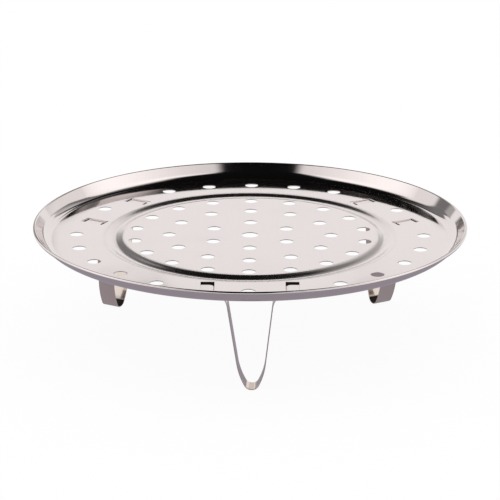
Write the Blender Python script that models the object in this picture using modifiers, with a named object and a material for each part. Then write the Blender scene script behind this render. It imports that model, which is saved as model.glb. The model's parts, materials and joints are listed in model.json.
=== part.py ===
"""Steamer rack: a round pressed tray, perforated all over, on three sprung strip legs.

The tray is one sheet: a flat disc inside a ring groove, a flat border, and a flared rim with a
rolled edge. Beside each leg two straps are sheared out of the border and pushed down, and each
leg is a strip bent to a U whose flared ends lie between those straps and the sheet.
Metres, +Z up. The origin is on the surface that the feet stand on, under the tray's centre.
"""
import math

import bmesh
import bpy
from mathutils import Matrix, Vector

# Overall
TRAY_HEIGHT = 0.0605
SHEET_THICKNESS = 0.0005
SEAT_GAP = 0.0003
MERGE_DISTANCE = 0.000001

# Flat disc, ring groove and flat border, from the centre outwards
DISC_RADIUS = 0.076
GROOVE_WIDTH = 0.011
GROOVE_DEPTH = 0.0016
BORDER_WIDTH = 0.0298

# Flared rim, measured on the upper surface of the sheet
RIM_FLARE = 0.013
RIM_HEIGHT = 0.0081
BEND_RADIUS = 0.008
ROLL_RADIUS = 0.001
ROLL_END_DEG = -210

# Steam holes: rings on the disc, as shares of its outermost ring, and one ring on the border
CENTRE_HOLE_RADIUS = 0.005
HOLE_RADIUS = 0.004
DISC_EDGE_MARGIN = 0.0022
BORDER_EDGE_MARGIN = 0.0086
DISC_RING_COUNTS = (6, 12, 18)
DISC_RING_SHARES = (0.362, 0.698, 1)
DISC_RING_START_DEG = (30, 0, 10)
BORDER_RING_COUNT = 24

# Legs: a flat strip of spring steel, bent to a U and flared at both ends
LEG_AZIMUTHS_DEG = {"front_leg": -90, "rear_right_leg": 30, "rear_left_leg": 150}
STRIP_WIDTH = 0.012
STRIP_THICKNESS = 0.0006
FOOT_RADIUS = 0.0052
FOOT_DEG = 66
SHOULDER_RADIUS = 0.042
FLARE_RADIUS = 0.0075
TAB_OVERHANG = 0.0015
FRONT_SWAY = 0.0012
REAR_RIGHT_SWAY = 0.0038
REAR_LEFT_SWAY = 0.0041
FOOT_SWAYS = {
    "front_leg": FRONT_SWAY,
    "rear_right_leg": REAR_RIGHT_SWAY,
    "rear_left_leg": REAR_LEFT_SWAY,
}

# Straps that hold the strip's ends, and the windows that they are pushed out of
WINDOW_START = 0.0202
WINDOW_WIDTH = 0.0078
WINDOW_MARGIN = 0.0023
INNER_ROOM = 0.0032
OUTER_ROOM = 0.0018
STRAP_SHEAR_GAP = 0.00015
STRAP_SIDE_GAP = 0.0005
STRAP_ROOT = 0.0008
STRAP_ROOT_INSET = 0.0001

# Facets
RING_SEGMENTS = 72
HOLE_SEGMENTS = 14
CENTRE_HOLE_SEGMENTS = 24
GROOVE_STEPS = 6
BEND_STEPS = 4
ROLL_QUARTER_STEPS = 2
FOOT_STEPS = 7
SHOULDER_STEPS = 4
FLARE_STEPS = 7

# Worked out from the sizes above
GROOVE_OUTER_RADIUS = DISC_RADIUS + GROOVE_WIDTH
BEND_START_RADIUS = GROOVE_OUTER_RADIUS + BORDER_WIDTH
RIM_RADIUS = BEND_START_RADIUS + RIM_FLARE
DISC_RING_RADIUS = DISC_RADIUS - DISC_EDGE_MARGIN - HOLE_RADIUS
BORDER_RING_RADIUS = BEND_START_RADIUS - BORDER_EDGE_MARGIN - HOLE_RADIUS
WINDOW_CORNER_RADIUS = GROOVE_OUTER_RADIUS + WINDOW_MARGIN
WINDOW_INNER_RADIUS = math.sqrt(WINDOW_CORNER_RADIUS**2 - WINDOW_START**2)
STRIP_INNER_RADIUS = WINDOW_INNER_RADIUS + INNER_ROOM
STRIP_OUTER_RADIUS = STRIP_INNER_RADIUS + STRIP_WIDTH
STRIP_RADIUS = STRIP_INNER_RADIUS + STRIP_WIDTH / 2
WINDOW_OUTER_RADIUS = STRIP_OUTER_RADIUS + OUTER_ROOM
STRAP_DROP = SHEET_THICKNESS + STRIP_THICKNESS + 2 * SEAT_GAP
TAB_HEIGHT = TRAY_HEIGHT - SHEET_THICKNESS - SEAT_GAP - STRIP_THICKNESS / 2
TAB_END = WINDOW_START + WINDOW_WIDTH + TAB_OVERHANG


def make_collection(name):
    collection = bpy.data.collections.new(name)
    bpy.context.scene.collection.children.link(collection)
    return collection


def make_material(name, colour, roughness):
    """A polished metal of one colour."""
    material = bpy.data.materials.new(name)
    material.use_nodes = True
    shader = material.node_tree.nodes["Principled BSDF"]
    shader.inputs["Base Color"].default_value = (*colour, 1)
    shader.inputs["Metallic"].default_value = 1
    shader.inputs["Roughness"].default_value = roughness
    return material


def object_from(bm, name, collection):
    """A new object in the collection, with the bmesh as its mesh."""
    mesh = bpy.data.meshes.new(name)
    bm.to_mesh(mesh)
    bm.free()
    item = bpy.data.objects.new(name, mesh)
    collection.objects.link(item)
    return item


def add_wall(item, thickness, offset):
    """Gives an open surface its sheet thickness."""
    wall = item.modifiers.new("Wall", "SOLIDIFY")
    wall.thickness = thickness
    wall.offset = offset
    wall.use_even_offset = True


def polar(radius, angle_deg):
    """The point at that radius and direction in the tray's plane."""
    angle = math.radians(angle_deg)
    return Vector((radius * math.cos(angle), radius * math.sin(angle)))


def tangent_heading(first_centre, first_radius, second_centre, second_radius):
    """Heading of the straight run that leaves an arc turning left and enters one turning right."""
    between = Vector(second_centre) - Vector(first_centre)
    lean = math.asin((first_radius + second_radius) / between.length)
    return math.atan2(between.y, between.x) + lean


def arc(centre, radius, start, end, steps):
    """Points where the heading goes from start to end. A negative radius turns right."""
    points = []
    for step in range(steps + 1):
        heading = start + (end - start) * step / steps
        outward = Vector((math.sin(heading), -math.cos(heading)))
        points.append(Vector(centre) + radius * outward)
    return points


def groove_profile():
    """Upper surface of the ring groove: one wave, level with the sheet at both sides."""
    points = []
    for step in range(GROOVE_STEPS + 1):
        share = step / GROOVE_STEPS
        depth = GROOVE_DEPTH * (1 - math.cos(2 * math.pi * share)) / 2
        points.append(Vector((DISC_RADIUS + GROOVE_WIDTH * share, -depth)))
    return points


def rim_profile():
    """Upper surface from the border's edge through the flared wall and round the rolled edge."""
    bend_centre = (BEND_START_RADIUS, BEND_RADIUS)
    roll_centre = (RIM_RADIUS - ROLL_RADIUS, RIM_HEIGHT - ROLL_RADIUS)
    wall = tangent_heading(bend_centre, BEND_RADIUS, roll_centre, ROLL_RADIUS)
    steps = ROLL_QUARTER_STEPS
    end = math.radians(ROLL_END_DEG)
    points = arc(bend_centre, BEND_RADIUS, 0, wall, BEND_STEPS)
    points += arc(roll_centre, -ROLL_RADIUS, wall, 0, steps)
    points += arc(roll_centre, -ROLL_RADIUS, 0, -math.pi / 2, steps)[1:]
    points += arc(roll_centre, -ROLL_RADIUS, -math.pi / 2, end, steps + 1)[1:]
    return points


def add_circle(bm, x, y, z, radius, segments):
    """A circle of edges in the bmesh, and its edges."""
    place = Matrix.Translation((x, y, z))
    made = bmesh.ops.create_circle(bm, radius=radius, segments=segments, matrix=place)
    return list({edge for vertex in made["verts"] for edge in vertex.link_edges})


def add_turned(bm, profile):
    """Rings along a profile, bridged one to the next. Returns the first and the last ring."""
    rings = [add_circle(bm, 0, 0, point.y, point.x, RING_SEGMENTS) for point in profile]
    for ring, following in zip(rings, rings[1:]):
        bmesh.ops.bridge_loops(bm, edges=ring + following)
    return rings[0], rings[-1]


def add_hole_ring(bm, radius, angles_deg):
    """Steam holes on a circle round the tray's centre."""
    edges = []
    for angle in angles_deg:
        centre = polar(radius, angle)
        edges += add_circle(bm, centre.x, centre.y, 0, HOLE_RADIUS, HOLE_SEGMENTS)
    return edges


def border_hole_angles():
    """Every step of the outer ring but the two beside each leg, where the windows are."""
    step = 360 / BORDER_RING_COUNT
    angles = []
    for index in range(BORDER_RING_COUNT):
        angle = index * step
        turns = [abs((angle - leg + 180) % 360 - 180) for leg in LEG_AZIMUTHS_DEG.values()]
        if min(abs(turn - step) for turn in turns) > step / 2:
            angles.append(angle)
    return angles


def leg_frame(angle_deg, radius):
    """Leg-side frame: X goes round the tray and Y points at its centre line."""
    place = polar(radius, angle_deg)
    turn = Matrix.Rotation(math.radians(angle_deg + 90), 4, "Z")
    return Matrix.Translation((place.x, place.y, 0)) @ turn


def add_window(bm, leg_deg, side):
    """The rectangular window beside a leg, on the side given by 1 or -1."""
    starts = (WINDOW_START, WINDOW_START + WINDOW_WIDTH)
    corners = [(side * starts[0], -WINDOW_INNER_RADIUS), (side * starts[1], -WINDOW_INNER_RADIUS)]
    corners += [(side * starts[1], -WINDOW_OUTER_RADIUS), (side * starts[0], -WINDOW_OUTER_RADIUS)]
    frame = leg_frame(leg_deg, 0)
    vertices = [bm.verts.new(frame @ Vector((x, y, 0))) for x, y in corners]
    return [bm.edges.new((vertices[i - 1], vertices[i])) for i in range(len(vertices))]


def strap_outline():
    """Section of a strap along the radius: root, slope, level seat, slope, root."""
    seat = -STRAP_DROP
    under = seat - SHEET_THICKNESS
    top = -STRAP_ROOT_INSET
    bottom = -SHEET_THICKNESS + STRAP_ROOT_INSET
    seat_inner = STRIP_INNER_RADIUS - STRAP_SIDE_GAP
    seat_outer = STRIP_OUTER_RADIUS + STRAP_SIDE_GAP
    inset = STRAP_ROOT_INSET
    return [
        (WINDOW_INNER_RADIUS - STRAP_ROOT, top),
        (WINDOW_INNER_RADIUS - STRAP_ROOT, bottom),
        (WINDOW_INNER_RADIUS, bottom),
        (seat_inner - inset, under),
        (seat_outer + inset, under),
        (WINDOW_OUTER_RADIUS, bottom),
        (WINDOW_OUTER_RADIUS + STRAP_ROOT, bottom),
        (WINDOW_OUTER_RADIUS + STRAP_ROOT, top),
        (WINDOW_OUTER_RADIUS - inset, top),
        (seat_outer, seat),
        (seat_inner, seat),
        (WINDOW_INNER_RADIUS + inset, top),
    ]


def build_straps(collection):
    """The six pushed-down straps, as one guide object that is joined to the tray."""
    bm = bmesh.new()
    for leg_deg in LEG_AZIMUTHS_DEG.values():
        frame = leg_frame(leg_deg, 0)
        for side in (1, -1):
            start = WINDOW_START + STRAP_SHEAR_GAP
            width = WINDOW_WIDTH - 2 * STRAP_SHEAR_GAP
            first = start if side == 1 else -start - width
            outline = [bm.verts.new(frame @ Vector((first, -r, z))) for r, z in strap_outline()]
            face = bm.faces.new(outline)
            made = bmesh.ops.extrude_face_region(bm, geom=[face])
            moved = [item for item in made["geom"] if isinstance(item, bmesh.types.BMVert)]
            along = frame.to_3x3() @ Vector((width, 0, 0))
            bmesh.ops.translate(bm, verts=moved, vec=along)
    bmesh.ops.recalc_face_normals(bm, faces=bm.faces)
    straps = object_from(bm, "straps", collection)
    straps.location.z = TRAY_HEIGHT
    straps.hide_render = True
    straps.display_type = "WIRE"
    return straps


def build_tray(parts, guides, material):
    """The pressed sheet: its upper surface, then the sheet's thickness below it, then the straps."""
    bm = bmesh.new()
    disc_edge, border_start = add_turned(bm, groove_profile())
    border_edge, _ = add_turned(bm, rim_profile())

    disc = disc_edge + add_circle(bm, 0, 0, 0, CENTRE_HOLE_RADIUS, CENTRE_HOLE_SEGMENTS)
    for count, share, start in zip(DISC_RING_COUNTS, DISC_RING_SHARES, DISC_RING_START_DEG):
        angles = [start + 360 * index / count for index in range(count)]
        disc += add_hole_ring(bm, DISC_RING_RADIUS * share, angles)
    bmesh.ops.triangle_fill(bm, edges=disc, use_beauty=True)

    border = border_start + border_edge
    border += add_hole_ring(bm, BORDER_RING_RADIUS, border_hole_angles())
    for leg_deg in LEG_AZIMUTHS_DEG.values():
        border += add_window(bm, leg_deg, 1) + add_window(bm, leg_deg, -1)
    bmesh.ops.triangle_fill(bm, edges=border, use_beauty=True)

    bmesh.ops.remove_doubles(bm, verts=bm.verts, dist=MERGE_DISTANCE)
    bmesh.ops.recalc_face_normals(bm, faces=bm.faces)
    bm.normal_update()
    level = max(bm.faces, key=lambda face: abs(face.normal.z) * face.calc_area())
    if level.normal.z < 0:
        bmesh.ops.reverse_faces(bm, faces=bm.faces)

    tray = object_from(bm, "perforated_tray", parts)
    tray.location.z = TRAY_HEIGHT
    tray.data.materials.append(material)
    add_wall(tray, SHEET_THICKNESS, -1)
    union = tray.modifiers.new("Straps", "BOOLEAN")
    union.operation = "UNION"
    union.solver = "EXACT"
    union.object = build_straps(guides)
    tray.data.shade_smooth()
    tray.data.set_sharp_from_angle(angle=math.radians(30))


def half_strip():
    """Centre line of half a leg, from beside the foot's middle out to the end of its flared tab."""
    foot = math.radians(FOOT_DEG)
    first = foot / FOOT_STEPS
    foot_centre = Vector((0, STRIP_THICKNESS / 2 + FOOT_RADIUS * math.cos(first)))
    reach = FOOT_RADIUS - SHOULDER_RADIUS
    shoulder_centre = foot_centre + reach * Vector((math.sin(foot), -math.cos(foot)))
    flare_centre = Vector((WINDOW_START, TAB_HEIGHT - FLARE_RADIUS))
    arm = tangent_heading(shoulder_centre, SHOULDER_RADIUS, flare_centre, FLARE_RADIUS)
    points = arc(foot_centre, FOOT_RADIUS, first, foot, FOOT_STEPS // 2)
    points += arc(shoulder_centre, SHOULDER_RADIUS, foot, arm, SHOULDER_STEPS)[1:]
    points += arc(flare_centre, -FLARE_RADIUS, arm, 0, FLARE_STEPS)
    points.append(Vector((TAB_END, TAB_HEIGHT)))
    return points


def build_leg(name, collection, material):
    """One strip leg. Its ends lie level in the straps, and its foot has swung a little sideways."""
    half = half_strip()
    line = [Vector((-point.x, point.y)) for point in reversed(half)] + half
    depth = TAB_HEIGHT - STRIP_THICKNESS / 2
    bm = bmesh.new()
    vertices = []
    for point in line:
        swung = FOOT_SWAYS[name] * (TAB_HEIGHT - point.y) / depth
        vertices.append(bm.verts.new((point.x + swung, -STRIP_WIDTH / 2, point.y)))
    edges = [bm.edges.new(pair) for pair in zip(vertices, vertices[1:])]
    made = bmesh.ops.extrude_edge_only(bm, edges=edges)
    moved = [item for item in made["geom"] if isinstance(item, bmesh.types.BMVert)]
    bmesh.ops.translate(bm, verts=moved, vec=(0, STRIP_WIDTH, 0))
    bmesh.ops.recalc_face_normals(bm, faces=bm.faces)
    leg = object_from(bm, name, collection)
    leg.matrix_world = leg_frame(LEG_AZIMUTHS_DEG[name], STRIP_RADIUS)
    leg.data.materials.append(material)
    add_wall(leg, STRIP_THICKNESS, 0)
    leg.data.shade_smooth()
    leg.data.set_sharp_from_angle(angle=math.radians(50))


def main():
    for item in list(bpy.data.objects):
        bpy.data.objects.remove(item)
    parts = make_collection("steamer_rack")
    guides = make_collection("guides")
    tray_steel = make_material("tray_steel", (0.79, 0.76, 0.75), 0.12)
    build_tray(parts, guides, tray_steel)
    for name in LEG_AZIMUTHS_DEG:
        leg_steel = make_material(name + "_steel", (0.74, 0.71, 0.69), 0.18)
        build_leg(name, parts, leg_steel)


main()
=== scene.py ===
"""Looks of the steamer rack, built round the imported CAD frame.

The tray and the legs are surfaces worked out with numpy. Each stands for the CAD node of the
same form, in the same place, with finer curves, rounded sheet edges and a procedural finish.
Metres, +Z up. The origin is on the floor, under the tray's centre.
"""
import json
import math

import bpy
import numpy as np
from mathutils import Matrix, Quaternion, Vector

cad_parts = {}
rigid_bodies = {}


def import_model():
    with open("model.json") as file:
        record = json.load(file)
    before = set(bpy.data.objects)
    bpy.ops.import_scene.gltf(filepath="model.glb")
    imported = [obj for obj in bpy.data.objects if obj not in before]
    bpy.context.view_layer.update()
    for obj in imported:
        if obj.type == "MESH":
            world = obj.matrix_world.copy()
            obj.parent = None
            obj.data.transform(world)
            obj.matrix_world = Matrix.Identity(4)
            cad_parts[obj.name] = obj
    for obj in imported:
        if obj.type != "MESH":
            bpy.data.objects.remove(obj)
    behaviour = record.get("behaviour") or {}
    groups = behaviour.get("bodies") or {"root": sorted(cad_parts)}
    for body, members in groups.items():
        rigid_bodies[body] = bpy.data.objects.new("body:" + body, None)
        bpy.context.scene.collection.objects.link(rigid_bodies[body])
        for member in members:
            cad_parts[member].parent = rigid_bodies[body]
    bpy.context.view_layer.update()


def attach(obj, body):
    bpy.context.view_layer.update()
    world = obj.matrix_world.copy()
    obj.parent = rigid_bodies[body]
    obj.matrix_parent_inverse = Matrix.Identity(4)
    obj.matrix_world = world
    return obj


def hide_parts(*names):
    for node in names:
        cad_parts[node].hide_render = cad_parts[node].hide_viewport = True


for unused in list(bpy.data.objects):
    bpy.data.objects.remove(unused)
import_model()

bl_info = {
    "name": "Steamer Rack",
    "version": (1, 0, 0),
    "blender": (4, 5, 0),
    "location": "View3D > Sidebar > Steamer Rack",
    "description": "A pressed, perforated steamer tray on three sprung strip legs",
    "category": "Object",
}

LEG_AZIMUTHS_DEG = {"front_leg": -90, "rear_right_leg": 30, "rear_left_leg": 150}
# Near-black colour painted where shade falls, in the sunk straps and on the feet
PAINTED_SHADE = (0.02, 0.017, 0.015, 1)
WHITE = (1, 1, 1, 1)
DARK = 0.004
# Painted shade on the sunk straps, from the groove and under the sheet's top, and on the rear feet;
# the tabs' painted light
STRAP_SHADE_REACH, STRAP_SHADE_DEPTH, FOOT_SHADE_TOP = 0.0204, 0.00045, 0.0034
TAB_LIGHT_DEPTH = 0.002

# The studio's cards: half the room's size, how far behind, and how high
ROOM, BACK, CEILING = 1.5, 0.45, 0.9

# How finely the tray is drawn
TURN_STEPS = 288
# Points in the same small cube are one. The shift keeps round sizes away from the cubes' sides.
WELD, WELD_SHIFT = 0.000001, 0.3771
# Two of the Texture Coordinate node's outputs
NORMAL_OUTPUT, OBJECT_OUTPUT = 1, 3

# How far the hole pattern is turned against the legs
HOLE_TURN_DEG = math.degrees(-0.0088)
# The disc's holes: each ring's count, its share of the outermost ring, and where it starts
DISC_RINGS = ((6, 0.362, 30), (12, 0.698, 0), (18, 1, 10))
DISC_MARGIN = 0.0015
# Circles between the disc's rings of cells, and the steps across each ring
CELL_CIRCLES = (0.013, 0.037, 0.0593)
CELL_STEPS = (10, 6, 6)
# The border's cells, and how far from the groove its holes reach
BORDER_CELLS = 24
BORDER_STEPS = 10
BORDER_REACH = 0.0201
# Faint coined steps on both sides of the groove
DISC_COIN, BORDER_COIN, COIN_DEPTH = 0.0009, 0.0007, 0.00002

# The windows: from the groove to their near corners, and the room at both ends of the strip
WINDOW_CORNER = 0.0019
INNER_ROOM, OUTER_ROOM = 0.0029, 0.0012
# The straps: play round the strip, bend radius, overlap at each side, and the extra depth
SEAT_PLAY = 0.0003
STRAP_BEND = 0.0003
STRAP_OVERLAP = 0.0005
STRAP_LAP, STRAP_FOLD, STRAP_SLOPE = 0.0004, 0.0003, 0.0012
STRAP_EXTRA = {"front_leg": 0.00055, "rear_right_leg": -0.00015, "rear_left_leg": -0.00015}

# The border's dish: shares, and middle, outer end and inner end, clockwise from behind
DISHES_DEG = ((0.7, 22, 72, 40), (0.12, -40, 45, 22))
DISH_RETURN = 0.8

# Heading at which the rim's rolled edge ends
ROLL_END_DEG = -210
# How far round the bend of the foot goes, and the depth over which a leg's turn eases in
FOOT_DEG = 61.95
TWIST_DEPTH = 0.01


# ---------------------------------------------------------------- settings


def length(name, description, default):
    """A size in metres that the sidebar shows."""
    return bpy.props.FloatProperty(
        name=name, description=description, default=default, unit="LENGTH", precision=5
    )


def angle(name, description, degrees):
    """An angle that the sidebar shows in degrees."""
    return bpy.props.FloatProperty(
        name=name,
        description=description,
        default=math.radians(degrees),
        subtype="ANGLE",
        unit="ROTATION",
    )


def fraction(name, description, default):
    """A share from 0 to 1."""
    return bpy.props.FloatProperty(
        name=name, description=description, default=default, min=0, max=1, subtype="FACTOR"
    )


def swatch(name, description, default):
    """A colour that the sidebar shows as a swatch."""
    return bpy.props.FloatVectorProperty(
        name=name, description=description, default=default, size=3, subtype="COLOR"
    )


class RackTraySettings(bpy.types.PropertyGroup):
    """Sizes of the pressed tray."""

    height: length("Tray height", "Floor to the top of the flat disc", 0.0605)
    thickness: length("Sheet thickness", "Thickness of the pressed sheet", 0.0005)
    edge_round: length("Edge rounding", "Rounding along every cut edge of the sheet", 0.00012)
    disc_radius: length("Disc radius", "Radius of the flat disc inside the groove", 0.0751)
    groove_width: length("Groove width", "Width of the ring groove", 0.013)
    groove_depth: length("Groove depth", "Depth of the ring groove", 0.0013)
    border_width: length("Border width", "Width of the flat border", 0.0306)
    rim_flare: length("Rim flare", "How far the rim leans outwards", 0.0111)
    rim_height: length("Rim height", "Height of the rim above the disc", 0.0081)
    bend_radius: length("Bend radius", "Radius of the bend at the foot of the rim", 0.0075)
    border_dish: length("Border dish", "Depth at the foot of the rim, before its shares", 0.0009)
    roll_radius: length("Roll radius", "Outer radius of the rolled edge", 0.001)
    centre_hole: length("Centre hole radius", "Radius of the middle hole", 0.005)
    hole: length("Hole radius", "Radius of the steam holes", 0.004)
    hole_turn: angle("Hole turn", "How far the holes are turned against the legs", HOLE_TURN_DEG)


class RackLegSettings(bpy.types.PropertyGroup):
    """Sizes of the three strip legs and of the straps that hold them."""

    strip_width: length("Strip width", "Width of the spring strip", 0.0112)
    strip_thickness: length("Strip thickness", "Thickness of the spring strip", 0.0006)
    edge_round: length("Edge rounding", "Rounding along the strip's edges", 0.00018)
    foot_radius: length("Foot radius", "Radius of the bend that stands on the floor", 0.00438)
    shoulder_radius: length("Shoulder radius", "Radius of the slow bend above the foot", 0.0391)
    rear_flare: length("Rear flare radius", "Radius of the rear legs' bend under the tray", 0.0075)
    front_flare: length("Front flare radius", "Radius of the front leg's slacker bend", 0.011)
    front_lead: length("Front lead", "From the window's end to the level front tab", 0.0035)
    window_start: length("Window start", "From the leg's middle to its windows", 0.0202)
    window_width: length("Window width", "Width of the windows beside the legs", 0.0078)
    tab_overhang: length("Tab overhang", "How far the strip's ends pass the straps", 0.0015)
    front_sway: length("Front sway", "How far the front foot has swung sideways", 0.0012)
    rear_right_sway: length("Rear right sway", "Swing of the rear right foot", 0.0038)
    rear_left_sway: length("Rear left sway", "Swing of the rear left foot", 0.0041)
    front_twist: angle("Front twist", "How far the front leg has turned about its own upright", 2.3)
    rear_right_twist: angle("Rear right twist", "Turn of the rear right leg", 0)
    rear_left_twist: angle("Rear left twist", "Turn of the rear left leg", 0)


class RackFinishSettings(bpy.types.PropertyGroup):
    """Colour and polish of the steel."""

    tray_colour: swatch("Tray colour", "Colour of the tray's sheet", (0.776, 0.708, 0.694))
    tray_roughness: fraction("Tray roughness", "How soft the tray's reflections are", 0.07)
    leg_colour: swatch("Leg colour", "Colour of the legs' strip", (0.770, 0.680, 0.615))
    leg_roughness: fraction("Leg roughness", "How soft the legs' reflections are", 0.11)


class RackStudioSettings(bpy.types.PropertyGroup):
    """Floor and camera."""

    floor_width: length("Floor width", "Side of the square floor", 8.0)
    shadow_share: fraction("Shadow share", "Share of the floor that the rack can shade", 0.07)
    lens: bpy.props.FloatProperty(
        name="Lens", description="Focal length in millimetres", default=185.8, min=1
    )
    distance: length("Distance", "From the middle of the tray's face to the camera", 1.5487)
    elevation: angle("Elevation", "Angle at which the camera looks down", 17.72)
    roll: angle("Roll", "Turn of the camera about its line of sight", 0.09)
    aim: bpy.props.FloatVectorProperty(
        name="Aim",
        description="Point in the middle of the picture",
        default=(-0.00004, -0.0027, 0.05178),
        size=3,
        subtype="TRANSLATION",
        unit="LENGTH",
    )


# ---------------------------------------------------------------- surfaces


class Patch:
    """A grid of points with their surface normals, as two arrays of rows, columns and xyz."""

    def __init__(self, points, normals, wrap_rows=False, wrap_columns=False):
        self.points, self.normals = np.broadcast_arrays(points, normals)
        rows, columns = self.points.shape[:2]
        index = np.arange(rows * columns).reshape(rows, columns)
        if wrap_rows:
            index = np.concatenate([index, index[:1]])
        if wrap_columns:
            index = np.concatenate([index, index[:, :1]], axis=1)
        corners = [index[:-1, :-1], index[:-1, 1:], index[1:, 1:], index[1:, :-1]]
        self.faces = np.stack(corners, -1).reshape(-1, 4)


class Cap:
    """Closes a ring of points: each point joins the one opposite it across the ring's middle."""

    def __init__(self, ring, normal):
        count = len(ring)
        self.points, self.normals = np.broadcast_arrays(ring, normal)
        near = np.arange(count // 2 - 1)
        self.faces = np.stack([near, near + 1, count - 2 - near, count - 1 - near], -1)


def join(patches):
    """One list of points, normals and faces, with the points that coincide made one."""
    points = np.concatenate([patch.points.reshape(-1, 3) for patch in patches])
    normals = np.concatenate([patch.normals.reshape(-1, 3) for patch in patches])
    normals = normals / np.linalg.norm(normals, axis=1, keepdims=True)
    starts = np.cumsum([0] + [patch.points.size // 3 for patch in patches[:-1]])
    faces = np.concatenate([patch.faces + start for patch, start in zip(patches, starts)])
    places = np.floor(points / WELD + WELD_SHIFT).astype(np.int64)
    _, first, inverse = np.unique(places, axis=0, return_index=True, return_inverse=True)
    return points[first], normals[first], inverse.reshape(-1)[faces]


def new_piece(name, patches):
    """A mesh object of the patches, its faces turned outwards and shaded by the exact normals."""
    points, normals, faces = join(patches)
    corners = points[faces]
    facing = np.cross(corners[:, 2] - corners[:, 0], corners[:, 3] - corners[:, 1])
    inward = np.einsum("ij,ij->i", facing, normals[faces].sum(axis=1)) < 0
    faces[inward] = faces[inward][:, ::-1]
    mesh = bpy.data.meshes.new(name)
    mesh.vertices.add(len(points))
    mesh.vertices.foreach_set("co", points.ravel())
    mesh.loops.add(faces.size)
    mesh.loops.foreach_set("vertex_index", faces.ravel())
    mesh.polygons.add(len(faces))
    mesh.polygons.foreach_set("loop_start", np.arange(len(faces)) * 4)
    mesh.update(calc_edges=True)
    mesh.validate()
    mesh.shade_smooth()
    mesh.normals_split_custom_set_from_vertices(normals)
    piece = bpy.data.objects.new(name, mesh)
    bpy.context.scene.collection.objects.link(piece)
    return piece


# ---------------------------------------------------------------- profiles


def arc(centre, radius, start, end, steps):
    """Rows of (along, height, heading) where the heading goes evenly from start to end.

    Each point is the centre plus the radius times (sin heading, -cos heading), so a negative
    radius turns right.
    """
    heading = np.linspace(start, end, steps + 1)
    return np.stack(
        [centre[0] + radius * np.sin(heading), centre[1] - radius * np.cos(heading), heading], -1
    )


def tangent_heading(first, first_radius, second, second_radius):
    """Heading of the straight run that leaves an arc turning left and enters one turning right."""
    along, up = second[0] - first[0], second[1] - first[1]
    lean = math.asin((first_radius + second_radius) / math.hypot(along, up))
    return math.atan2(up, along) + lean


def left_of(profile):
    """The unit vectors a quarter turn to the left of each row's heading."""
    return np.stack([-np.sin(profile[:, 2]), np.cos(profile[:, 2])], -1)


def sheet_profile(upper, thickness, round_end=False):
    """A profile's upper side, then its lower side on the way back, as points and normals.

    The lower side lies a sheet's thickness to the right of the upper one. A round end is half a
    circle of the sheet's thickness, from one side to the other.
    """
    normals = left_of(upper)
    points = upper[:, :2]
    lower, down = (points - thickness * normals)[::-1], -normals[::-1]
    if round_end:
        turn = np.linspace(0, math.pi, 9)[1:-1, None]
        ahead = np.array([math.cos(upper[-1, 2]), math.sin(upper[-1, 2])])
        nose = np.cos(turn) * normals[-1] + np.sin(turn) * ahead
        middle = points[-1] - thickness / 2 * normals[-1]
        return (
            np.concatenate([points, middle + thickness / 2 * nose, lower]),
            np.concatenate([normals, nose, down]),
        )
    return np.concatenate([points, lower]), np.concatenate([normals, down])


def cut_edge(thickness, rounding, steps=3):
    """Section of a cut sheet edge, from its upper side to its lower one.

    Rows of (distance from the cut, height, outward share, upward share): a quarter circle, the
    cut's face, and a quarter circle.
    """
    turn = np.linspace(0, math.pi / 2, steps + 1)
    top = np.stack(
        [rounding * (1 - np.sin(turn)), rounding * (np.cos(turn) - 1), np.sin(turn), np.cos(turn)],
        -1,
    )
    bottom = top[::-1] * [1, -1, 1, -1] + [0, -thickness, 0, 0]
    return np.concatenate([top, bottom])


# ---------------------------------------------------------------- the tray


def turned(points, normals, height):
    """A profile of (radius, height) turned round the tray's centre line."""
    angle = np.arange(TURN_STEPS) * 2 * math.pi / TURN_STEPS
    across = np.stack([np.cos(angle), np.sin(angle), 0 * angle], -1)
    up = np.array([0, 0, 1])
    place = points[:, :1, None] * across + (points[:, 1:, None] + height) * up
    facing = normals[:, :1, None] * across + normals[:, 1:, None] * up
    return Patch(place, facing, wrap_columns=True)


def groove_profile(rack):
    """Upper surface of the ring groove: one cosine wave, level with the sheet at both sides."""
    share = np.linspace(0, 1, 25)
    depth = -rack.groove_depth * (1 - np.cos(2 * math.pi * share)) / 2
    slope = -rack.groove_depth * math.pi / rack.groove_width * np.sin(2 * math.pi * share)
    radius = rack.disc_radius + rack.groove_width * share
    return np.stack([radius, depth, np.arctan(slope)], -1)


def rim_profile(rack):
    """Upper surface of the rim: bend, straight flared wall, and the edge rolled over and under."""
    start = rack.disc_radius + rack.groove_width + rack.border_width
    bend = (start, rack.bend_radius)
    roll = (start + rack.rim_flare - rack.roll_radius, rack.rim_height - rack.roll_radius)
    wall = tangent_heading(bend, rack.bend_radius, roll, rack.roll_radius)
    return np.concatenate(
        [
            arc(bend, rack.bend_radius, 0, wall, 10),
            arc(roll, -rack.roll_radius, wall, math.radians(ROLL_END_DEG), 26),
        ]
    )


def cell_outline(inner, outer, middle, half_angle, arc_steps, side_steps):
    """Outlines of the sector cells round several middles, as cells, points and xy.

    Each goes along the inner arc, out along one side, back along the outer arc and in again.
    """
    sweep = np.linspace(-half_angle, half_angle, arc_steps + 1)
    reach = np.linspace(inner, outer, side_steps + 1)
    angle = np.concatenate(
        [sweep[:-1], 0 * reach[:-1] + half_angle, sweep[:0:-1], 0 * reach[:0:-1] - half_angle]
    )
    radius = np.concatenate(
        [0 * sweep[:-1] + inner, reach[:-1], 0 * sweep[:0:-1] + outer, reach[:0:-1]]
    )
    turn = middle[:, None] + angle
    return radius[:, None] * np.stack([np.cos(turn), np.sin(turn)], -1)


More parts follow.
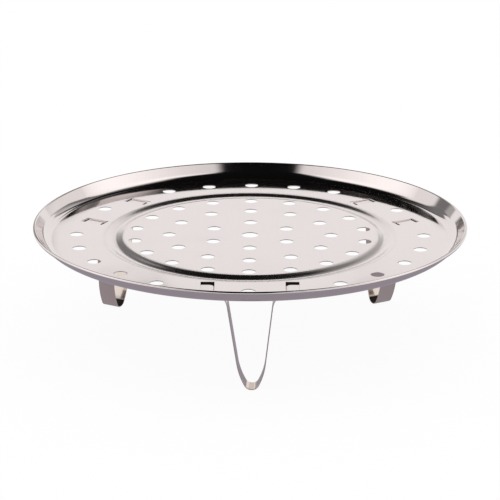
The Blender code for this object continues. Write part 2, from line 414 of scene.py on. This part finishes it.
def cells(outline, edge_at, section, thickness, height):
    """Patches of the sheet between cell outlines and the cut edges inside them.

    edge_at gives the cut's points and outward directions at a distance from the cut. Each
    cell's rows are its outline, the section round the cut edge, and the outline underneath.
    """
    rows, facing = [outline], [0 * outline]
    level, upright = [0], [1]
    for distance, drop, sideways, upward in section:
        place, into_hole = edge_at(distance)
        rows.append(place)
        facing.append(sideways * into_hole)
        level.append(drop)
        upright.append(upward)
    rows.append(outline)
    facing.append(0 * outline)
    level.append(-thickness)
    upright.append(-1)
    patches = []
    shape = (len(level), outline.shape[1], 1)
    heights = np.broadcast_to(np.array(level)[:, None, None] + height, shape)
    lifts = np.broadcast_to(np.array(upright)[:, None, None], shape)
    for place, side in zip(np.stack(rows, 1), np.stack(facing, 1)):
        patches.append(
            Patch(
                np.concatenate([place, heights], -1),
                np.concatenate([side, lifts], -1),
                wrap_columns=True,
            )
        )
    return patches


def round_hole_edge(centres, radius, outline):
    """Points and inward directions round holes, each on the ray to its point of the outline."""
    away = outline - centres[:, None]
    away = away / np.linalg.norm(away, axis=-1, keepdims=True)
    return lambda distance: (centres[:, None] + (radius + distance) * away, -away)


def window_edge(leg_azimuths, sides, near, far, inner, outer, arc_steps, side_steps):
    """Points and inward directions round the windows, in the order of the cell outlines.

    Along each straight edge the points lie at (1 - cos(pi s)) / 2, so they crowd at the corners,
    where the direction is halfway between those of the two edges.
    """
    axis = np.stack([np.cos(leg_azimuths), np.sin(leg_azimuths)], -1)
    round_axis = np.stack([-axis[:, 1], axis[:, 0]], -1)
    low = np.where(sides > 0, near, -far)
    crowd = [(1 - np.cos(np.pi * np.arange(n) / n)) / 2 for n in (arc_steps, side_steps)]
    share = np.concatenate([crowd[0], 1 + 0 * crowd[1], 1 - crowd[0], 0 * crowd[1]])
    reach = np.concatenate([0 * crowd[0], crowd[1], 1 + 0 * crowd[0], 1 - crowd[1]])
    inward = np.repeat([[0, 1], [-1, 0], [0, -1], [1, 0]], [arc_steps, side_steps] * 2, axis=0)
    corners = np.array([0, arc_steps, arc_steps + side_steps, 2 * arc_steps + side_steps])
    inward = inward.astype(float)
    inward[corners] = (inward[corners] + inward[corners - 1]) * math.sqrt(0.5)

    def in_plane(across, along):
        return across[..., None] * round_axis[:, None] + along[..., None] * axis[:, None]

    def edge_at(distance):
        across = low[:, None] - distance + share * (far - near + 2 * distance)
        along = inner - distance + reach * (outer - inner + 2 * distance) + 0 * across
        facing = in_plane(inward[:, 0] + 0 * across, inward[:, 1] + 0 * across)
        return in_plane(across, along), facing

    return edge_at


def rounded_path(corners, radius, steps):
    """A path through corners, each turned with an arc, as rows of (along, height, heading)."""
    corners = np.array(corners)
    legs = np.diff(corners, axis=0)
    headings = np.arctan2(legs[:, 1], legs[:, 0])
    rows = [[*corners[0], headings[0]]]
    for corner, before, after in zip(corners[1:-1], headings, headings[1:]):
        turn = after - before
        setback = radius * math.tan(abs(turn) / 2)
        signed = math.copysign(radius, turn)
        start = corner - setback * np.array([math.cos(before), math.sin(before)])
        centre = start + signed * np.array([-math.sin(before), math.cos(before)])
        rows.extend(arc(centre, signed, before, after, steps))
    rows.append([*corners[-1], headings[-1]])
    return np.array(rows)


def strip_section(width, thickness, rounding, steps=3):
    """Ring round a flat strip's section, as (across, up) points and normals.

    The upper half runs from left to right with its corners turned as quarter circles, and the
    lower half is the same on the way back, so opposite points pair up for the end caps.
    """
    turn = np.linspace(math.pi, math.pi / 2, steps + 1)
    turn = np.concatenate([turn, math.pi - turn[::-1]])
    normals = np.stack([np.cos(turn), np.sin(turn)], -1)
    side = np.repeat([-1, 1], steps + 1)[:, None]
    middle = np.array([width / 2 - rounding, thickness / 2 - rounding])
    points = np.concatenate([side * middle[0], 0 * side + middle[1]], -1) + rounding * normals
    below = np.array([1, -1])
    return (
        np.concatenate([points, points[::-1] * below]),
        np.concatenate([normals, normals[::-1] * below]),
    )


def carried_strip(path, width, thickness, rounding):
    """A strip's section carried along a path, with rounded ends.

    A section point goes to the path point plus up times the path's left side, and across along
    the strip's width. Near both ends the section shrinks on a quarter circle while the path
    runs out by the same rounding. Axes: along, across, up.
    """
    turn = np.linspace(0, math.pi / 2, 4)
    leaving = np.stack([np.cos(path[-1, 2]), np.sin(path[-1, 2]), 0]) * np.array([1, 1, 0])
    entering = np.stack([np.cos(path[0, 2]), np.sin(path[0, 2]), 0]) * np.array([1, 1, 0])
    start = path[0] + (1 - np.sin(turn[::-1, None])) * rounding * entering
    end = path[-1] - (1 - np.sin(turn[:, None])) * rounding * leaving
    rows = np.concatenate([start, path[1:-1], end])
    inset = np.zeros(len(rows))
    lean = np.zeros(len(rows))
    shrink = 0.9 * rounding * (1 - np.cos(turn))
    inset[:4], inset[-4:] = shrink[::-1], shrink
    lean[:4], lean[-4:] = -turn[::-1], turn
    ring, facing = strip_section(width, thickness, rounding)
    ring = ring - inset[:, None, None] * facing
    left = left_of(rows)
    ahead = np.stack([left[:, 1], -left[:, 0]], -1)
    points = rows[:, None, :2] + ring[..., 1:] * left[:, None]
    lean = lean[:, None, None]
    normals = np.cos(lean) * facing[:, 1:] * left[:, None] + np.sin(lean) * ahead[:, None]
    across = np.cos(lean) * facing[:, :1]
    points = np.stack([points[..., 0], ring[..., 0], points[..., 1]], -1)
    normals = np.stack([normals[..., 0], across[..., 0] + 0 * normals[..., 0], normals[..., 1]], -1)
    body = Patch(points, normals, wrap_columns=True)
    return [body, Cap(points[0], normals[0]), Cap(points[-1], normals[-1])]


def placed(patches, origin, along, across):
    """The patches with their own axes laid along two level directions from an origin."""
    axes = np.array([[*along, 0], [*across, 0], [0, 0, 1]])
    for patch in patches:
        patch.points = patch.points @ axes + np.array([*origin, 0])
        patch.normals = patch.normals @ axes
    return patches


def radial(azimuth):
    """The outward direction and the anticlockwise direction at an azimuth."""
    outward = np.array([math.cos(azimuth), math.sin(azimuth)])
    return outward, np.array([-outward[1], outward[0]])


class StripSeat:
    """Where the strips, the straps and the windows lie, from the tray's centre outwards."""

    def __init__(self, rack, strip):
        corner = rack.disc_radius + rack.groove_width + WINDOW_CORNER
        self.near = strip.window_start
        self.far = strip.window_start + strip.window_width
        self.inner = math.sqrt(corner**2 - self.near**2)
        self.strip_inner = self.inner + INNER_ROOM
        self.strip_outer = self.strip_inner + strip.strip_width
        self.outer = self.strip_outer + OUTER_ROOM
        self.drop = rack.thickness + strip.strip_thickness + 2 * SEAT_PLAY
        self.tab_height = rack.height - rack.thickness - SEAT_PLAY - strip.strip_thickness / 2
        self.tab_end = self.far + strip.tab_overhang


def strap_patches(rack, strip, seat):
    """The six straps: level at the sheet, down a slope, level under the strip, and up again.

    The front leg's slacker bend has pushed its straps a little further down.
    """
    half = rack.thickness / 2
    top = rack.height - COIN_DEPTH - half
    patches = []
    for node, azimuth in LEG_AZIMUTHS_DEG.items():
        low = rack.height - seat.drop - half - STRAP_EXTRA[node]
        path = rounded_path(
            [
                (seat.inner - STRAP_LAP, top),
                (seat.inner + STRAP_FOLD, top),
                (seat.inner + STRAP_SLOPE, low),
                (seat.strip_outer + STRAP_FOLD, low),
                (seat.outer - STRAP_FOLD, top),
                (seat.outer + STRAP_LAP, top),
            ],
            STRAP_BEND,
            5,
        )
        outward, sideways = radial(math.radians(azimuth))
        width = seat.far - seat.near + 2 * STRAP_OVERLAP
        for side in (-1, 1):
            made = carried_strip(path, width, rack.thickness, rack.edge_round)
            middle = side * (seat.near + seat.far) / 2 * sideways
            patches += placed(made, middle, outward, sideways)
    return patches


def dished(patches, start, end, over, dish):
    """The patches let down, by a depth that grows as the square of the way across the border.

    Past the border's end the depth runs back to nothing on a cubic, so the surface has no crease.
    Round the tray it is weighted with two smooth steps of the cosine of the angle to a middle:
    a wide one behind, a little to the right, and a weak one behind to the left.
    """
    span, back = end - start, over - end
    run = 2 * back / span
    for patch in patches:
        radius = np.maximum(np.linalg.norm(patch.points[..., :2], axis=-1), WELD)
        way = np.clip((radius - start) / span, 0, 1)
        rest = np.clip((radius - end) / back, 0, 1)
        fall = (1 + 2 * rest) * (1 - rest) ** 2 + run * rest * (1 - rest) ** 2
        steep = -6 * rest * (1 - rest) + run * (1 - rest) * (1 - 3 * rest)
        outside = radius > end
        depth = dish * np.where(outside, fall, way**2)
        slope = dish * np.where(outside, steep / back, 2 * way / span)
        outward = patch.points * [1, 1, 0] / radius[..., None]
        sideways = np.stack([outward[..., 1], -outward[..., 0], 0 * radius], -1)
        weight = change = 0
        for share, *angles in DISHES_DEG:
            middle, low, high = np.radians(angles)
            to_middle = np.array([math.sin(middle), math.cos(middle), 0])
            width = math.cos(high) - math.cos(low)
            step = np.clip((outward @ to_middle - math.cos(low)) / width, 0, 1)
            weight = weight + share * step**2 * (3 - 2 * step)
            growing = share * 6 * step * (1 - step) / width
            change = change + growing * (sideways @ to_middle) / radius
        patch.points = patch.points - (depth * weight)[..., None] * [0, 0, 1]
        up = patch.normals[..., 2]
        patch.normals = patch.normals + (slope * weight * up)[..., None] * outward
        patch.normals = patch.normals + (depth * change * up)[..., None] * sideways
    return patches


def tray_patches(rack, strip):
    """The whole pressed tray, from its middle hole to the rolled edge."""
    seat = StripSeat(rack, strip)
    section = cut_edge(rack.thickness, rack.edge_round)
    deep = -rack.thickness
    bounds = (*CELL_CIRCLES, rack.disc_radius - DISC_COIN)
    groove_outer = rack.disc_radius + rack.groove_width
    border_start = groove_outer + BORDER_COIN
    border_end = groove_outer + rack.border_width

    middle = np.concatenate(
        [
            [[bounds[0], 0, 0, 1]],
            section * [1, 1, -1, 1] + [rack.centre_hole, 0, 0, 0],
            [[bounds[0], deep, 0, -1]],
        ]
    )
    patches = [turned(middle[:, :2], middle[:, 2:], rack.height)]

    last = rack.disc_radius - DISC_MARGIN - rack.hole
    rings = zip(DISC_RINGS, bounds, bounds[1:], CELL_STEPS)
    for (count, share, start), inner, outer, side_steps in rings:
        angle = np.radians(start) + np.arange(count) * 2 * math.pi / count
        arc_steps = TURN_STEPS // count
        outline = cell_outline(inner, outer, angle, math.pi / count, arc_steps, side_steps)
        bearing = angle + rack.hole_turn
        centres = last * share * np.stack([np.cos(bearing), np.sin(bearing)], -1)
        edge = round_hole_edge(centres, rack.hole, outline)
        patches += cells(outline, edge, section, rack.thickness, rack.height)

    step = 2 * math.pi / BORDER_CELLS
    arc_steps = TURN_STEPS // BORDER_CELLS
    angle = np.arange(BORDER_CELLS) * step
    legs = np.radians(list(LEG_AZIMUTHS_DEG.values()))
    turn = (angle[:, None] - legs + math.pi) % (2 * math.pi) - math.pi
    beside = np.abs(np.abs(turn) - step) < step / 2
    holed = ~beside.any(axis=1)
    outline = cell_outline(border_start, border_end, angle, step / 2, arc_steps, BORDER_STEPS)
    ring = groove_outer + BORDER_REACH - rack.hole
    bearing = angle[holed] + rack.hole_turn
    centres = ring * np.stack([np.cos(bearing), np.sin(bearing)], -1)
    edge = round_hole_edge(centres, rack.hole, outline[holed])
    patches += cells(outline[holed], edge, section, rack.thickness, rack.height)
    leg_of = beside.argmax(axis=1)[~holed]
    side = np.sign(turn[~holed, leg_of])
    window = (seat.near, seat.far, seat.inner, seat.outer)
    edge = window_edge(legs[leg_of], side, *window, arc_steps, BORDER_STEPS)
    patches += cells(outline[~holed], edge, section, rack.thickness, rack.height)

    groove = groove_profile(rack)
    coined = []
    for start, end in ((bounds[-1], rack.disc_radius), (groove_outer, border_start)):
        share = np.linspace(0, 1, 9)
        dip = COIN_DEPTH * (1 - np.cos(2 * math.pi * share)) / 2
        slope = -COIN_DEPTH * math.pi / (end - start) * np.sin(2 * math.pi * share)
        coined.append(np.stack([start + (end - start) * share, -dip, slope], -1))
    for profile in (coined[0], groove, coined[1]):
        up = left_of(profile)
        patches.append(turned(profile[:, :2], up, rack.height))
        patches.append(turned(profile[:, :2] - rack.thickness * up, -up, rack.height))

    patches.append(turned(*sheet_profile(rim_profile(rack), rack.thickness, True), rack.height))
    patches += strap_patches(rack, strip, seat)
    over = border_end + DISH_RETURN * rack.bend_radius
    return dished(patches, groove_outer, border_end, over, rack.border_dish)


# ---------------------------------------------------------------- the legs


def leg_path(strip, seat, flare_radius, lead):
    """Centre line of a leg: foot arc, shoulder arc, straight arm, flare and level tab, mirrored."""
    foot = math.radians(FOOT_DEG)
    middle = np.array([0, strip.strip_thickness / 2 + strip.foot_radius])
    reach = strip.foot_radius - strip.shoulder_radius
    shoulder = middle + reach * np.array([math.sin(foot), -math.cos(foot)])
    flare = (strip.window_start + lead, seat.tab_height - flare_radius)
    arm = tangent_heading(shoulder, strip.shoulder_radius, flare, flare_radius)
    half = np.concatenate(
        [
            arc(middle, strip.foot_radius, 0, foot, 14),
            arc(shoulder, strip.shoulder_radius, foot, arm, 10)[1:],
            arc(flare, -flare_radius, arm, 0, 16),
            [[seat.tab_end, seat.tab_height, 0]],
        ]
    )
    return np.concatenate([half[:0:-1] * [-1, 1, -1], half])


def turned_about_upright(vectors, turn):
    """Each vector turned clockwise about the upright axis, seen from above, by its own angle."""
    along, across, up = np.moveaxis(vectors, -1, 0)
    cos, sin = np.cos(turn), np.sin(turn)
    return np.stack([along * cos + across * sin, across * cos - along * sin, up], -1)


def leg_patches(strip, seat, node):
    """One strip leg, its foot swung sideways: along grows with the depth below the tabs.

    It also turns about its own upright, by an angle that eases in with the first depth.
    """
    place = node.removesuffix("_leg")
    sway, twist = getattr(strip, place + "_sway"), getattr(strip, place + "_twist")
    bend = (strip.front_flare, strip.front_lead) if place == "front" else (strip.rear_flare, 0)
    path = leg_path(strip, seat, *bend)
    patches = carried_strip(path, strip.strip_width, strip.strip_thickness, strip.edge_round)
    shear = sway / (seat.tab_height - strip.strip_thickness / 2)
    for patch in patches:
        depth = seat.tab_height - patch.points[..., 2]
        patch.points = patch.points + depth[..., None] * [shear, 0, 0]
        patch.normals = patch.normals + patch.normals[..., :1] * [0, 0, shear]
        ease = np.clip(depth / TWIST_DEPTH, 0, 1)
        turn = twist * ease**2 * (3 - 2 * ease)
        patch.points = turned_about_upright(patch.points, turn)
        patch.normals = turned_about_upright(patch.normals, turn)
    outward, sideways = radial(math.radians(LEG_AZIMUTHS_DEG[node]))
    radius = (seat.strip_inner + seat.strip_outer) / 2
    return placed(patches, radius * outward, sideways, -outward)


# ---------------------------------------------------------------- shader expressions


class Wire:
    """One socket of a node tree. Arithmetic on it adds Math nodes."""

    def __init__(self, tree, socket):
        self.tree = tree
        self.socket = socket

    def math(self, operation, *others):
        """A Math node whose first value is this socket."""
        values = dict(enumerate((self, *others)))
        return self.tree.add("ShaderNodeMath", {"operation": operation}, values)

    def __add__(self, other):
        return self.math("ADD", other)

    __radd__ = __add__

    def __sub__(self, other):
        return self.math("SUBTRACT", other)

    def __rsub__(self, other):
        return self.tree.add("ShaderNodeMath", {"operation": "SUBTRACT"}, {0: other, 1: self})

    def __mul__(self, other):
        return self.math("MULTIPLY", other)

    __rmul__ = __mul__

    def __truediv__(self, other):
        return self.math("DIVIDE", other)

    def __pow__(self, other):
        return self.math("POWER", other)

    def above(self, edge, soft):
        """0 below the edge, 1 above it, with a smooth step of that width around it."""
        settings = {"interpolation_type": "SMOOTHSTEP"}
        ends = {"Value": self, "From Min": edge - soft / 2, "From Max": edge + soft / 2}
        return self.tree.add("ShaderNodeMapRange", settings, ends)

    def below(self, edge, soft):
        """1 below the edge, 0 above it."""
        return 1 - self.above(edge, soft)


class Tree:
    """A node tree that is being written."""

    def __init__(self, owner):
        owner.use_nodes = True
        self.nodes = owner.node_tree.nodes
        self.links = owner.node_tree.links
        self.nodes.clear()

    def add(self, kind, settings=None, sockets=None, output=0):
        """A node of a type, with its settings set first, then its sockets' values or links."""
        node = self.nodes.new(kind)
        for name, value in (settings or {}).items():
            setattr(node, name, value)
        for name, value in (sockets or {}).items():
            if isinstance(value, Wire):
                self.links.new(value.socket, node.inputs[name])
            else:
                node.inputs[name].default_value = value
        return Wire(self, node.outputs[output]) if node.outputs else None

    def mix(self, share, first, second):
        """From the first colour to the second, as the share goes from 0 to 1."""
        return self.add("ShaderNodeMix", {"data_type": "RGBA"}, {0: share, 6: first, 7: second}, 2)

    def noise(self, place, scale, detail, roughness):
        """Noise from 0 to 1, with about scale waves to the metre."""
        sockets = {"Vector": place, "Scale": scale, "Detail": detail, "Roughness": roughness}
        return self.add("ShaderNodeTexNoise", None, sockets)

    def axes(self, place):
        """The three numbers of a vector."""
        node = self.nodes.new("ShaderNodeSeparateXYZ")
        self.links.new(place.socket, node.inputs[0])
        return [Wire(self, socket) for socket in node.outputs]


def linear(red, green, blue):
    """A colour as it looks on screen, 0 to 255, as the shader's linear colour."""
    parts = [value / 255 for value in (red, green, blue)]
    return tuple(v / 12.92 if v <= 0.04045 else ((v + 0.055) / 1.055) ** 2.4 for v in parts) + (1,)


def opaque(colour, factor=1):
    """A colour times a factor, no part above 1, with its alpha."""
    return tuple(min(1.0, part * factor) for part in colour) + (1,)


def streaks(tree, place, turn_deg, across, along):
    """Rolling marks: noise stretched along the rolled direction, the turned place's second axis.

    across and along are the waves to the metre.
    """
    turn = (0, 0, math.radians(-turn_deg))
    scale = (across, along, along)
    place = tree.add("ShaderNodeMapping", None, {"Vector": place, "Rotation": turn, "Scale": scale})
    return tree.noise(place, 1, 3, 0.6)


def steel(name, colour, roughness, turn_deg, grain, tint, pressed=None, painted_layers=()):
    """Bright rolled sheet. Streaks along the rolled direction shade its colour and its roughness
    a little, broad soft patches of handling dull it, and both bend the reflections by a hair.

    pressed names a ring, as its middle radius and half width, that the press has stretched dull.
    The last argument lists painted shade and painted light laid over the steel: each one's
    share, written on the place and on how far a face looks up, its colour and its roughness.
    """
    material = bpy.data.materials.new(name)
    tree = Tree(material)
    place = tree.add("ShaderNodeTexCoord", None, None, OBJECT_OUTPUT)
    coarse = streaks(tree, place, turn_deg, 900, 14)
    fine = streaks(tree, place, turn_deg, 3600, 40)
    handled = tree.noise(place, 26, 4, 0.55).above(0.58, 0.3)
    waves = tree.noise(place, 18, 1, 0.4)
    shade = (coarse - 0.5) * 0.6 + (fine - 0.5) * 0.4
    base = tree.mix(shade * 2 + 0.5, opaque(colour, 1 - grain), opaque(colour, 1 + grain))
    base = tree.mix(handled * 0.25, base, tint)
    rough = handled * 0.02 + (shade * 0.04 + roughness)
    if pressed:
        radius, half_width = pressed
        x, y, _ = tree.axes(place)
        aside = ((x**2 + y**2).math("SQRT") - radius).math("ABSOLUTE")
        rough = rough + aside.below(half_width, half_width * 0.4) * 0.09
    facing = tree.add("ShaderNodeTexCoord", None, None, NORMAL_OUTPUT)
    up = tree.axes(facing)[2].above(0.2, 0.2)
    # Painted shade and painted light are mixed into the steel's colour here
    for painted_mask, painted_colour, roughening in painted_layers:
        share = painted_mask(*tree.axes(place), up)
        base = tree.mix(share, base, painted_colour)
        rough = rough + share * roughening
    height = waves + coarse * 0.0015 + fine * 0.0003
    bump = {"Strength": 1, "Distance": 0.00006, "Height": height}
    normal = tree.add("ShaderNodeBump", None, bump)
    finish = {"Base Color": base, "Metallic": 1, "Roughness": rough, "Normal": normal}
    shader = tree.add("ShaderNodeBsdfPrincipled", None, finish)
    tree.add("ShaderNodeOutputMaterial", None, {"Surface": shader})
    return material


# ---------------------------------------------------------------- the studio


def level_corners(half_width, half_depth, height):
    """Corners of a level rectangle about the tray's centre line."""
    return [
        (-half_width, -half_depth, height),
        (half_width, -half_depth, height),
        (half_width, half_depth, height),
        (-half_width, half_depth, height),
    ]


def upright_corners(half_width, y, low, high):
    """Corners of an upright rectangle across the view."""
    return [
        (-half_width, y, low),
        (half_width, y, low),
        (half_width, y, high),
        (-half_width, y, high),
    ]


def card(name, corners, light):
    """A studio card of four corners that glows by itself and is seen in the steel alone.

    light writes its colour and how far it covers, both on its place.
    """
    mesh = bpy.data.meshes.new(name)
    mesh.from_pydata(corners, [], [(0, 1, 2, 3)])
    item = bpy.data.objects.new(name, mesh)
    bpy.context.scene.collection.objects.link(item)
    for kind in ("camera", "diffuse", "transmission", "volume_scatter", "shadow"):
        setattr(item, "visible_" + kind, False)
    material = bpy.data.materials.new(name)
    tree = Tree(material)
    place = tree.axes(tree.add("ShaderNodeTexCoord", None, None, OBJECT_OUTPUT))
    colour, cover = light(tree, *place)
    glow = tree.add("ShaderNodeEmission", None, {"Color": colour, "Strength": 1})
    clear = tree.add("ShaderNodeBsdfTransparent")
    seen = tree.add("ShaderNodeMixShader", None, {0: cover, 1: clear, 2: glow})
    tree.add("ShaderNodeOutputMaterial", None, {"Surface": seen})
    mesh.materials.append(material)


def overhead_light(tree, x, y, z):
    """Two soft boxes over the rack. The dark gap between them grows wider and softer towards the
    back: its right side leans out before the rack's middle, its left side behind the rack.
    """
    soft = (y + 0.5).math("MAXIMUM", 0.1) * 0.09 + 0.045
    left_side = (y * 0.45 + 0.29).math("MAXIMUM", 0.35)
    right_side = (y * 0.58 + 0.36).math("MAXIMUM", 0.22).math("MINIMUM", 0.36)
    left = ((-1 * x - left_side) / soft).above(0, 1.5)
    right = ((x - right_side) / soft).above(0, 1.5)
    level = (1.29 - (y - 0.2) ** 2 * 1.1).math("MAXIMUM", 0.6)
    return level * left.math("MAXIMUM", right) + DARK, 1.0


def back_light(tree, x, y, z):
    """A white card with a pointed top behind the rack, and darkness above it. To the left the
    light comes back beyond a dark stretch, and to the right it fades out and comes back later.
    """
    side = (x - 0.009).math("ABSOLUTE")
    foot = ((z - 0.15) * 1.6 + 0.10).math("MAXIMUM", 0.085).math("MINIMUM", 0.172)
    low = (side - foot).below(0, 0.03) * z.below(0.25, 0.015)
    point = (side + z * 0.95 - 0.318).below(0, 0.03)
    card = low.math("MAXIMUM", point) * z.above(0.10, 0.02) * 0.97
    left = (z.math("MINIMUM", 0.40) * 1.1 - x - 0.68).above(0, 0.12)
    left = left.math("MAXIMUM", (-1 * x).above(0.42, 0.14))
    dim = (-1 * x).above(0.05, 0.06) * z.below(0.40, 0.16) * 0.2
    fading = (0.94 - x * 2.3) * z.below(0.45, 0.2)
    right = fading.math("MAXIMUM", 0.18) * x.above(0.09, 0.09)
    beyond = (x - (z * 1.3 - 0.064).math("MINIMUM", 0.39)).above(0, 0.12) * 0.92
    skirt = side.above(0.09, 0.05) * z.below(0.20, 0.04) * 0.45
    light = DARK
    for part in (card, left * 0.93, dim, right, beyond, skirt):
        light = part.math("MAXIMUM", light)
    return light, z.below(0.56, 0.01)


def front_light(tree, x, y, z):
    """The dark room over the camera, a little wider to the left, which blackens the front roll."""
    cover = x.above(-1.2, 0.3) * x.below(0.9, 0.3) * z.above(0.6, 0.06)
    return (DARK, DARK, DARK, 1), cover


def ground_light(tree, x, y, z):
    """A grey table card under the rack, white again behind it and far out."""
    behind = y.above(0.14, 0.16)
    far = (x**2 + y**2).math("SQRT").above(0.55, 0.3)
    grey, white = (0.333, 0.311, 0.361, 1), (1, 0.985, 0.96, 1)
    return tree.mix(behind.math("MAXIMUM", far), grey, white), 1.0


# ---------------------------------------------------------------- the add-on


class RACK_OT_tray(bpy.types.Operator):
    """Makes the pressed and punched tray with its rolled rim."""

    bl_idname = "steamer_rack.tray"
    bl_label = "Pressed tray"

    def execute(self, context):
        scene = context.scene
        rack, strip, finish = scene.rack_tray, scene.rack_legs, scene.rack_finish
        piece = new_piece("pressed_tray", tray_patches(rack, strip))
        ring = (rack.disc_radius + rack.groove_width / 2, rack.groove_width / 2)
        groove_outer = ring[0] + ring[1]

        # Painted shade: the sunk straps, seen through the windows, are darkened where they face up
        # below the sheet's top
        def strap_painted_shade(x, y, z, up):
            radius = (x**2 + y**2).math("SQRT")
            beyond = radius.above(groove_outer, 0.0002)
            among = beyond * radius.below(groove_outer + STRAP_SHADE_REACH, 0.0002)
            return among * z.below(rack.height - STRAP_SHADE_DEPTH, 0.0001) * up

        material = steel(
            "tray_sheet",
            finish.tray_colour,
            finish.tray_roughness,
            turn_deg=0,
            grain=0.02,
            tint=linear(219, 209, 204),
            pressed=ring,
            painted_layers=[(strap_painted_shade, PAINTED_SHADE, 0.25)],
        )
        piece.data.materials.append(material)
        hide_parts("perforated_tray")
        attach(piece, "tray")
        return {"FINISHED"}


class RACK_OT_legs(bpy.types.Operator):
    """Makes the three sprung strip legs, each in its pair of windows."""

    bl_idname = "steamer_rack.legs"
    bl_label = "Strip legs"

    def execute(self, context):
        scene = context.scene
        rack, strip, finish = scene.rack_tray, scene.rack_legs, scene.rack_finish
        seat = StripSeat(rack, strip)

        # Painted shade: up-facing faces of the feet near the floor are darkened
        def foot_painted_shade(x, y, z, up):
            return z.below(FOOT_SHADE_TOP, 0.001) * up

        # Painted light: the tabs under the tray take the tray's lighter, greyer colour in place of
        # the leg's
        def tab(x, y, z, up):
            return z.above(rack.height - TAB_LIGHT_DEPTH, 0.001)

        # Every leg gets the tabs' painted light; the rear legs also get painted shade on their feet
        tab_painted_light = [(tab, opaque(finish.tray_colour), 0)]
        for node, azimuth in LEG_AZIMUTHS_DEG.items():
            piece = new_piece(node.replace("_leg", "_spring_leg"), leg_patches(strip, seat, node))
            painted_layers = tab_painted_light if node == "front_leg" else tab_painted_light + [(foot_painted_shade, PAINTED_SHADE, 0.25)]
            material = steel(
                node + "_strip",
                finish.leg_colour,
                finish.leg_roughness,
                turn_deg=azimuth - 90,
                grain=0.05,
                tint=linear(205, 190, 176),
                painted_layers=painted_layers,
            )
            piece.data.materials.append(material)
            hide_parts(node)
            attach(piece, node)
        return {"FINISHED"}


class RACK_OT_studio(bpy.types.Operator):
    """Makes the floor, the cards that the steel mirrors, the white surroundings and the camera."""

    bl_idname = "steamer_rack.studio"
    bl_label = "Studio and camera"

    def execute(self, context):
        studio = context.scene.rack_studio
        corners = level_corners(studio.floor_width / 2, studio.floor_width / 2, 0)
        mesh = bpy.data.meshes.new("studio_floor")
        mesh.from_pydata(corners, [], [(0, 1, 2, 3)])
        floor = bpy.data.objects.new("studio_floor", mesh)
        context.scene.collection.objects.link(floor)
        material = bpy.data.materials.new("studio_floor")
        tree = Tree(material)
        white = tree.add("ShaderNodeEmission", None, {"Color": WHITE, "Strength": 1})
        lit = tree.add("ShaderNodeBsdfDiffuse", None, {"Color": WHITE})
        seen = tree.add("ShaderNodeMixShader", None, {0: studio.shadow_share, 1: white, 2: lit})
        tree.add("ShaderNodeOutputMaterial", None, {"Surface": seen})
        mesh.materials.append(material)

        card("table_card", level_corners(ROOM, ROOM, 0.0002), ground_light)
        card("back_card", upright_corners(1.2, BACK, 0.001, 0.57), back_light)
        ceiling = level_corners(1.6, ROOM, CEILING)
        # The other way round from the first corner, so that it faces down
        card("overhead_boxes", ceiling[:1] + ceiling[:0:-1], overhead_light)
        card("front_gap", upright_corners(ROOM, -ROOM, 0.001, CEILING), front_light)

        world = bpy.data.worlds.new("studio_white")
        context.scene.world = world
        tree = Tree(world)
        glow = tree.add("ShaderNodeBackground", None, {"Color": WHITE, "Strength": 1})
        tree.add("ShaderNodeOutputWorld", None, {"Surface": glow})
        context.scene.view_settings.view_transform = "Standard"

        data = bpy.data.cameras.new("photo_camera")
        data.lens = studio.lens
        item = bpy.data.objects.new("photo_camera", data)
        context.scene.collection.objects.link(item)
        back = studio.distance * math.cos(studio.elevation)
        rise = studio.distance * math.sin(studio.elevation)
        item.location = (0, -back, context.scene.rack_tray.height + rise)
        sight = (Vector(studio.aim) - item.location).to_track_quat("-Z", "Y")
        item.rotation_mode = "QUATERNION"
        item.rotation_quaternion = sight @ Quaternion((0, 0, 1), studio.roll)
        context.scene.camera = item
        return {"FINISHED"}


class RACK_PT_panel(bpy.types.Panel):
    """Lists the pieces of the steamer rack and its studio."""

    bl_idname = "RACK_PT_panel"
    bl_label = "Steamer rack"
    bl_space_type = "VIEW_3D"
    bl_region_type = "UI"
    bl_category = "Steamer rack"

    def draw(self, context):
        for operator in (RACK_OT_tray, RACK_OT_legs, RACK_OT_studio):
            self.layout.operator(operator.bl_idname)
        for group in (getattr(context.scene, name) for name in SETTINGS):
            box = self.layout.box()
            for name in group.__annotations__:
                box.prop(group, name)


SETTINGS = {
    "rack_tray": RackTraySettings,
    "rack_legs": RackLegSettings,
    "rack_finish": RackFinishSettings,
    "rack_studio": RackStudioSettings,
}
CLASSES = (*SETTINGS.values(), RACK_OT_tray, RACK_OT_legs, RACK_OT_studio, RACK_PT_panel)


def register():
    for item in CLASSES:
        bpy.utils.register_class(item)
    for name, group in SETTINGS.items():
        setattr(bpy.types.Scene, name, bpy.props.PointerProperty(type=group))


def unregister():
    for name in SETTINGS:
        delattr(bpy.types.Scene, name)
    for item in reversed(CLASSES):
        bpy.utils.unregister_class(item)


def main():
    register()
    bpy.ops.steamer_rack.tray()
    bpy.ops.steamer_rack.legs()
    bpy.ops.steamer_rack.studio()


if __name__ == "__main__":
    main()
